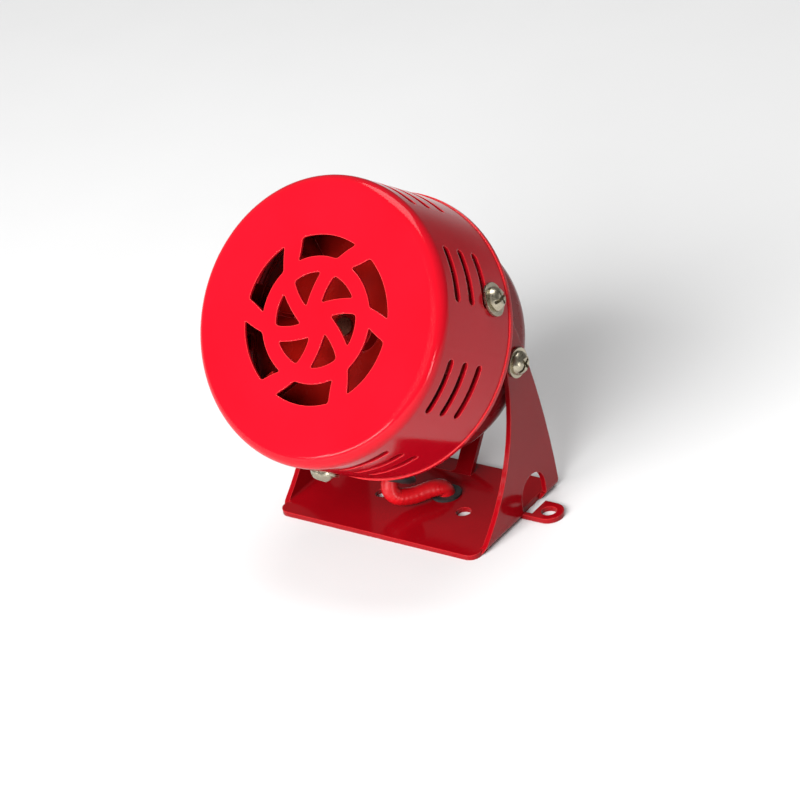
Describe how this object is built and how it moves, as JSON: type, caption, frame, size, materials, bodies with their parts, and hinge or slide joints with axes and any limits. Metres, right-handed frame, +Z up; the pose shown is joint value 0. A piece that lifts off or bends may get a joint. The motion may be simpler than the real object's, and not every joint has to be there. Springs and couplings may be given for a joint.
{
  "type": "motor siren",
  "caption": "Round slotted siren drum with a pinwheel-pierced face, a motor-driven vaned rotor inside, and a tilting U-shaped sheet-metal bracket with side tabs.",
  "frame": {"origin": "middle of the bracket base's underside, across the arms and front to back", "axes": "+Z up from the mounting face, X along the tilt axis, -Y towards the front, where the drum faces"},
  "size_m": [0.0902, 0.0869, 0.1059],
  "materials": {
    "red_enamel": "gloss",
    "red_sleeve": "satin",
    "rubber": "matt",
    "nickel": "satin",
    "core_steel": "satin",
    "copper": "satin",
    "bronze": "satin",
    "board": "matt",
    "carbon": "matt",
    "aluminium": "satin"
  },
  "bodies": {
    "bracket": {"bracket": "red_enamel", "base_grommet": "rubber", "lead": "red_sleeve"},
    "siren": {"front_cover": "red_enamel", "motor_plate": "red_enamel", "rear_cup": "red_enamel", "cable_gland": "rubber", "cover_screws": "nickel", "cover_washers": "nickel", "pivot_screws": "nickel", "pivot_washers": "nickel", "pivot_nuts": "nickel", "cup_screws": "nickel", "field_core": "core_steel", "field_coils": "copper", "field_screws": "nickel", "field_spacers": "core_steel", "front_bearing": "bronze", "rear_bearing": "bronze", "bearing_holder": "core_steel", "brush_plate": "board", "brush_holders": "bronze", "brushes": "carbon", "brush_springs": "nickel"},
    "rotor": {"shaft": "core_steel", "armature_core": "core_steel", "armature_winding": "copper", "commutator": "copper", "rotor": "aluminium", "rotor_washer": "nickel", "rotor_nut": "nickel"}
  },
  "joints": [
    {"name": "tilt", "type": "hinge", "parent": "bracket", "child": "siren", "pos_m": [0, 0.0126, 0.0469], "axis": [-1, 0, 0], "range_deg": [-28, 54], "deforming": ["lead"]},
    {"name": "rotor_spin", "type": "hinge", "parent": "siren", "child": "rotor", "pos_m": [0, 0.0126, 0.0469], "axis": [0, -0.8141, 0.5807], "continuous": true}
  ]
}
